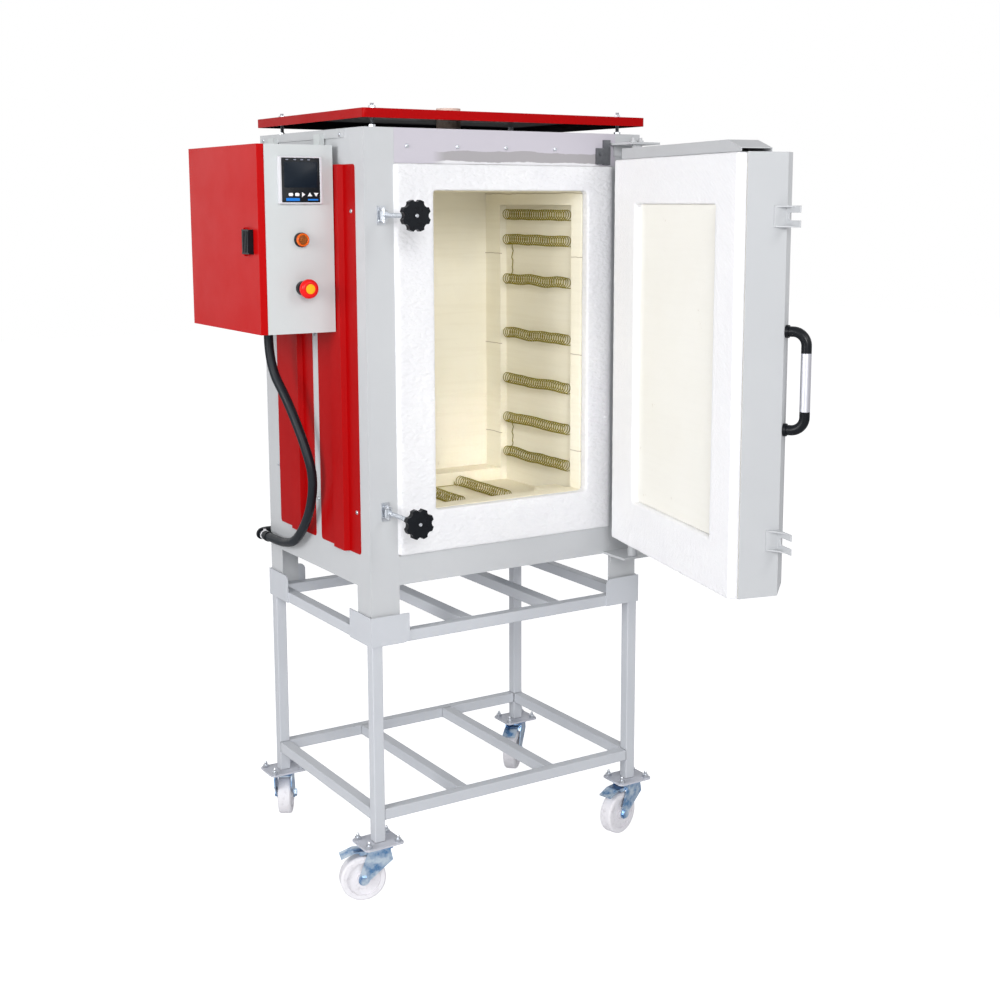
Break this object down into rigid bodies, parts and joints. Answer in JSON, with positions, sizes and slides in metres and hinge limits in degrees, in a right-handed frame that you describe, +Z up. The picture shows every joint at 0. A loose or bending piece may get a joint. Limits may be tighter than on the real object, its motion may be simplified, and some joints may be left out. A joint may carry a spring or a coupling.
{
  "type": "ceramic kiln",
  "caption": "Front-loading electric ceramic kiln on a wheeled steel stand, with swing door, clamp bolts, wound elements and a side control box",
  "frame": {"origin": "On the floor under the middle of the object's bounding box, door open; the lowest points are the wheels' treads", "axes": "+X to the right seen from the front, +Y from the door side to the back, +Z up"},
  "size_m": [0.9228, 1.2808, 1.703],
  "materials": {
    "stand_grey": "satin",
    "zinc": "satin",
    "wheel_white": "satin",
    "casing_grey": "satin",
    "red_paint": "satin",
    "steel": "satin",
    "insulating_brick": "matte",
    "fibre_white": "matte",
    "element_wire": "matte",
    "thermo_ceramic": "satin",
    "black_plastic": "satin",
    "hose_black": "satin",
    "key_white": "satin",
    "lamp_amber": "gloss",
    "stop_red": "satin",
    "dark_metal": "satin",
    "equipment_grey": "satin"
  },
  "bodies": {
    "kiln": {"stand_legs": "stand_grey", "stand_rails": "stand_grey", "corner_cups": "stand_grey", "caster_plates": "stand_grey", "casing_frame": "casing_grey", "side_panels": "red_paint", "rear_panel": "casing_grey", "roof_cover": "red_paint", "vent_tube": "insulating_brick", "fasteners": "steel", "chamber_walls": "insulating_brick", "hearth_slab": "insulating_brick", "ceiling_slab": "insulating_brick", "backing_fibre": "fibre_white", "fibre_frame": "fibre_white", "heating_elements": "element_wire", "thermocouple": "thermo_ceramic", "door_switch": "dark_metal", "hinge_brackets": "casing_grey", "clamp_brackets": "steel", "control_box": "casing_grey", "controller": "black_plastic", "pilot_lamp": "lamp_amber", "stop_base": "black_plastic", "box_equipment": "equipment_grey", "hose_fittings": "black_plastic", "hose": "hose_black"},
    "door": {"door_shell": "casing_grey", "door_lining": "insulating_brick", "door_blanket": "fibre_white", "door_cowl": "casing_grey", "door_forks": "steel", "handle_ends": "black_plastic", "handle_grip": "steel"},
    "bolt_upper": {"swing_bolt_upper": "steel"},
    "washer_upper": {"clamp_washer_upper": "steel"},
    "knob_upper": {"star_knob_upper": "black_plastic"},
    "bolt_lower": {"swing_bolt_lower": "steel"},
    "washer_lower": {"clamp_washer_lower": "steel"},
    "knob_lower": {"star_knob_lower": "black_plastic"},
    "lid": {"box_lid": "red_paint"},
    "latch": {"box_latch": "black_plastic"},
    "key_1": {"controller_key_1": "key_white"},
    "key_2": {"controller_key_2": "key_white"},
    "key_3": {"controller_key_3": "key_white"},
    "key_4": {"controller_key_4": "key_white"},
    "key_5": {"controller_key_5": "key_white"},
    "stop_stem": {"stop_stem": "dark_metal"},
    "stop_cap": {"stop_cap": "stop_red"},
    "caster_fl": {"caster_fork_fl": "zinc"},
    "wheel_fl": {"caster_wheel_fl": "wheel_white"},
    "pedal_fl": {"brake_pedal_fl": "zinc"},
    "caster_fr": {"caster_fork_fr": "zinc"},
    "wheel_fr": {"caster_wheel_fr": "wheel_white"},
    "pedal_fr": {"brake_pedal_fr": "zinc"},
    "caster_rr": {"caster_fork_rr": "zinc"},
    "wheel_rr": {"caster_wheel_rr": "wheel_white"},
    "pedal_rr": {"brake_pedal_rr": "zinc"},
    "caster_rl": {"caster_fork_rl": "zinc"},
    "wheel_rl": {"caster_wheel_rl": "wheel_white"}
  },
  "joints": [
    {"name": "door_hinge", "type": "hinge", "parent": "kiln", "child": "door", "pos_m": [0.3693, -0.0109, 1.164], "axis": [0, 0, 1], "range_deg": [-76.5, 45]},
    {"name": "bolt_swing_upper", "type": "hinge", "parent": "kiln", "child": "bolt_upper", "pos_m": [-0.231, 0.0405, 1.468], "axis": [0, 0, 1], "range_deg": [-90, 53]},
    {"name": "washer_slide_upper", "type": "slide", "parent": "bolt_upper", "child": "washer_upper", "axis": [0, -1, 0], "range_m": [0, 0.006]},
    {"name": "knob_turn_upper", "type": "hinge", "parent": "washer_upper", "child": "knob_upper", "pos_m": [-0.231, -0.0795, 1.468], "axis": [0, -1, 0], "range_deg": [0, 1440]},
    {"name": "bolt_swing_lower", "type": "hinge", "parent": "kiln", "child": "bolt_lower", "pos_m": [-0.231, 0.0405, 0.853], "axis": [0, 0, 1], "range_deg": [-90, 53]},
    {"name": "washer_slide_lower", "type": "slide", "parent": "bolt_lower", "child": "washer_lower", "axis": [0, -1, 0], "range_m": [0, 0.006]},
    {"name": "knob_turn_lower", "type": "hinge", "parent": "washer_lower", "child": "knob_lower", "pos_m": [-0.231, -0.0795, 0.853], "axis": [0, -1, 0], "range_deg": [0, 1440]},
    {"name": "lid_hinge", "type": "hinge", "parent": "kiln", "child": "lid", "pos_m": [-0.434, 0.5541, 1.417], "axis": [0, 0, 1], "range_deg": [-110, 0]},
    {"name": "latch_turn", "type": "hinge", "parent": "lid", "child": "latch", "pos_m": [-0.4546, 0.2311, 1.414], "axis": [0, 0, 1], "range_deg": [-35, 0]},
    {"name": "key_press_1", "type": "slide", "parent": "kiln", "child": "key_1", "axis": [0, 1, 0], "range_m": [0, 0.0005], "stiffness_N_per_m": 400},
    {"name": "key_press_2", "type": "slide", "parent": "kiln", "child": "key_2", "axis": [0, 1, 0], "range_m": [0, 0.0005], "stiffness_N_per_m": 400},
    {"name": "key_press_3", "type": "slide", "parent": "kiln", "child": "key_3", "axis": [0, 1, 0], "range_m": [0, 0.0005], "stiffness_N_per_m": 400},
    {"name": "key_press_4", "type": "slide", "parent": "kiln", "child": "key_4", "axis": [0, 1, 0], "range_m": [0, 0.0005], "stiffness_N_per_m": 400},
    {"name": "key_press_5", "type": "slide", "parent": "kiln", "child": "key_5", "axis": [0, 1, 0], "range_m": [0, 0.0005], "stiffness_N_per_m": 400},
    {"name": "stop_press", "type": "slide", "parent": "kiln", "child": "stop_stem", "axis": [0, 1, 0], "range_m": [0, 0.004]},
    {"name": "stop_turn", "type": "hinge", "parent": "stop_stem", "child": "stop_cap", "pos_m": [-0.3554, 0.1391, 1.3185], "axis": [0, -1, 0], "range_deg": [-45, 0]},
    {"name": "caster_swivel_fl", "type": "hinge", "parent": "kiln", "child": "caster_fl", "pos_m": [-0.2575, 0.061, 0.117], "axis": [0, 0, 1], "continuous": true},
    {"name": "wheel_spin_fl", "type": "hinge", "parent": "caster_fl", "child": "wheel_fl", "pos_m": [-0.29097, 0.07123, 0.05], "axis": [0.2924, 0.9563, 0], "continuous": true},
    {"name": "brake_press_fl", "type": "hinge", "parent": "caster_fl", "child": "pedal_fl", "pos_m": [-0.28045, 0.06802, 0.11], "axis": [0.2924, 0.9563, 0], "range_deg": [-12, 0]},
    {"name": "caster_swivel_fr", "type": "hinge", "parent": "kiln", "child": "caster_fr", "pos_m": [0.4145, 0.061, 0.117], "axis": [0, 0, 1], "continuous": true},
    {"name": "wheel_spin_fr", "type": "hinge", "parent": "caster_fr", "child": "wheel_fr", "pos_m": [0.38069, 0.05194, 0.05], "axis": [-0.2588, 0.9659, 0], "continuous": true},
    {"name": "brake_press_fr", "type": "hinge", "parent": "caster_fr", "child": "pedal_fr", "pos_m": [0.39132, 0.05479, 0.11], "axis": [-0.2588, 0.9659, 0], "range_deg": [-12, 0]},
    {"name": "caster_swivel_rr", "type": "hinge", "parent": "kiln", "child": "caster_rr", "pos_m": [0.4145, 0.561, 0.117], "axis": [0, 0, 1], "continuous": true},
    {"name": "wheel_spin_rr", "type": "hinge", "parent": "caster_rr", "child": "wheel_rr", "pos_m": [0.38975, 0.53625, 0.05], "axis": [-0.7071, 0.7071, 0], "continuous": true},
    {"name": "brake_press_rr", "type": "hinge", "parent": "caster_rr", "child": "pedal_rr", "pos_m": [0.39753, 0.54403, 0.11], "axis": [-0.7071, 0.7071, 0], "range_deg": [-12, 0]},
    {"name": "caster_swivel_rl", "type": "hinge", "parent": "kiln", "child": "caster_rl", "pos_m": [-0.2575, 0.561, 0.117], "axis": [0, 0, 1], "continuous": true},
    {"name": "wheel_spin_rl", "type": "hinge", "parent": "caster_rl", "child": "wheel_rl", "pos_m": [-0.24, 0.59131, 0.05], "axis": [0.866, -0.5, 0], "continuous": true}
  ],
  "couplings": [
    {"joint": "bolt_swing_upper", "follows": "door_hinge", "ratio": 1.1765},
    {"joint": "washer_slide_upper", "follows": "knob_turn_upper", "m_per_rad": 0.00023873},
    {"joint": "bolt_swing_lower", "follows": "door_hinge", "ratio": 1.1765},
    {"joint": "washer_slide_lower", "follows": "knob_turn_lower", "m_per_rad": 0.00023873}
  ]
}
